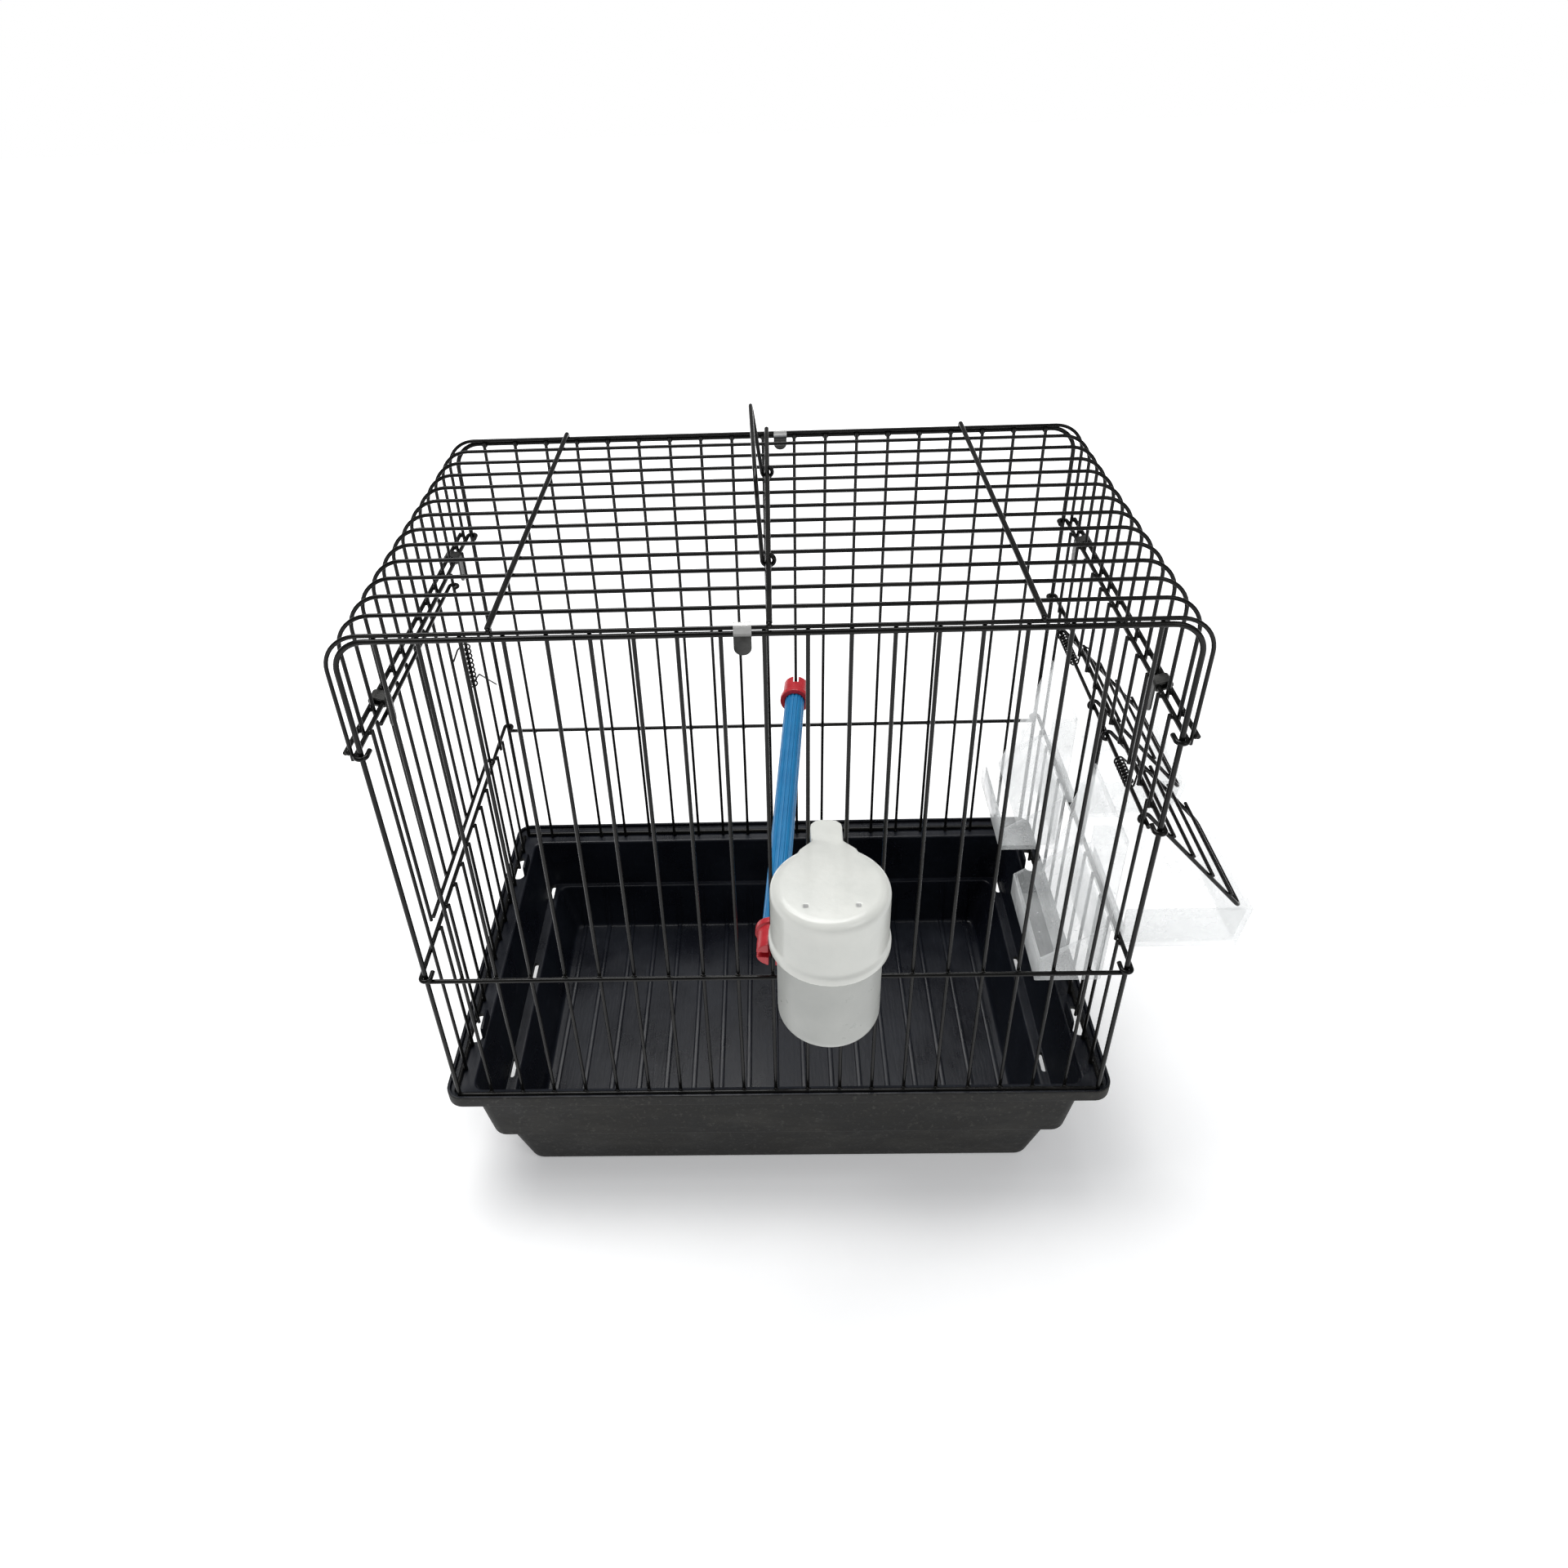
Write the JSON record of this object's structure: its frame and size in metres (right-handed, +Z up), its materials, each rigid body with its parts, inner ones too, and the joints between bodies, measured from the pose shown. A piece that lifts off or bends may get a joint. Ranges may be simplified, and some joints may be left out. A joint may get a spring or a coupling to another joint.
{
  "type": "bird cage",
  "caption": "Wire bird cage on a moulded tray, with a side door, sprung flaps over clear feeders, a perch, a drinker and a carrying handle.",
  "frame": {"origin": "underside of the tray's floor, at the middle of the cage's plan", "axes": "+Z up, +X towards the feeders' side, -Y towards the front with the drinker"},
  "size_m": [0.3656, 0.2411, 0.3541],
  "materials": {
    "tray_plastic": "fine matte grain",
    "black_wire": "semi-gloss black paint",
    "spring_steel": "dark oiled spring wire",
    "clip_steel": "dull zinc",
    "clear_plastic": "clear moulded polystyrene",
    "white_plastic": "white, soft gloss",
    "frosted_plastic": "translucent, smooth",
    "blue_plastic": "soft gloss",
    "red_plastic": "soft gloss"
  },
  "bodies": {
    "tray": {"tray": "tray_plastic"},
    "cage": {"front_panel": "black_wire", "back_panel": "black_wire", "left_panel": "black_wire", "right_panel": "black_wire", "roof_panel": "black_wire", "left_door_spring": "spring_steel", "flap_rod": "black_wire", "front_flap_spring": "spring_steel", "rear_flap_spring": "spring_steel", "front_feeder_tray": "clear_plastic", "front_feeder_hood": "clear_plastic", "rear_feeder_tray": "clear_plastic", "rear_feeder_hood": "clear_plastic", "centre_clips": "clip_steel", "side_clips": "clip_steel"},
    "left_door": {"left_door": "black_wire"},
    "front_flap": {"front_flap": "black_wire"},
    "rear_flap": {"rear_flap": "black_wire"},
    "handle": {"handle_bail": "black_wire"},
    "drinker": {"drinker_cap": "white_plastic"},
    "drinker_cup": {"drinker_cup": "frosted_plastic"},
    "perch": {"perch_rod": "blue_plastic", "perch_cap_front": "red_plastic", "perch_cap_rear": "red_plastic"}
  },
  "joints": [
    {"name": "cage_lift", "type": "slide", "parent": "tray", "child": "cage", "axis": [0, 0, 1], "range_m": [0, 0.1]},
    {"name": "left_door_hinge", "type": "hinge", "parent": "cage", "child": "left_door", "pos_m": [-0.1503, 0.04981, 0.208], "axis": [0, 0, -1], "range_deg": [0, 110], "stiffness_Nm_per_rad": 0.002, "springref_deg": -45.84, "deforming": ["left_door_spring"]},
    {"name": "front_flap_hinge", "type": "hinge", "parent": "cage", "child": "front_flap", "pos_m": [0.152, -0.04455, 0.214], "axis": [0, -1, 0], "range_deg": [0, 95], "stiffness_Nm_per_rad": 0.002, "springref_deg": -45.84, "deforming": ["front_flap_spring"]},
    {"name": "rear_flap_hinge", "type": "hinge", "parent": "cage", "child": "rear_flap", "pos_m": [0.152, 0.0409, 0.214], "axis": [0, -1, 0], "range_deg": [0, 95], "stiffness_Nm_per_rad": 0.002, "springref_deg": -45.84, "deforming": ["rear_flap_spring"]},
    {"name": "handle_swing", "type": "hinge", "parent": "cage", "child": "handle", "pos_m": [0.0018, 0, 0.32045], "axis": [0, 1, 0], "range_deg": [-75, 90]},
    {"name": "drinker_pull", "type": "slide", "parent": "cage", "child": "drinker", "axis": [0, -1, 0], "range_m": [0, 0.05]},
    {"name": "cup_pull", "type": "slide", "parent": "drinker", "child": "drinker_cup", "axis": [0, 0, -1], "range_m": [0, 0.07]},
    {"name": "perch_slide", "type": "slide", "parent": "cage", "child": "perch", "axis": [0, 0, 1], "range_m": [0, 0.1]}
  ]
}
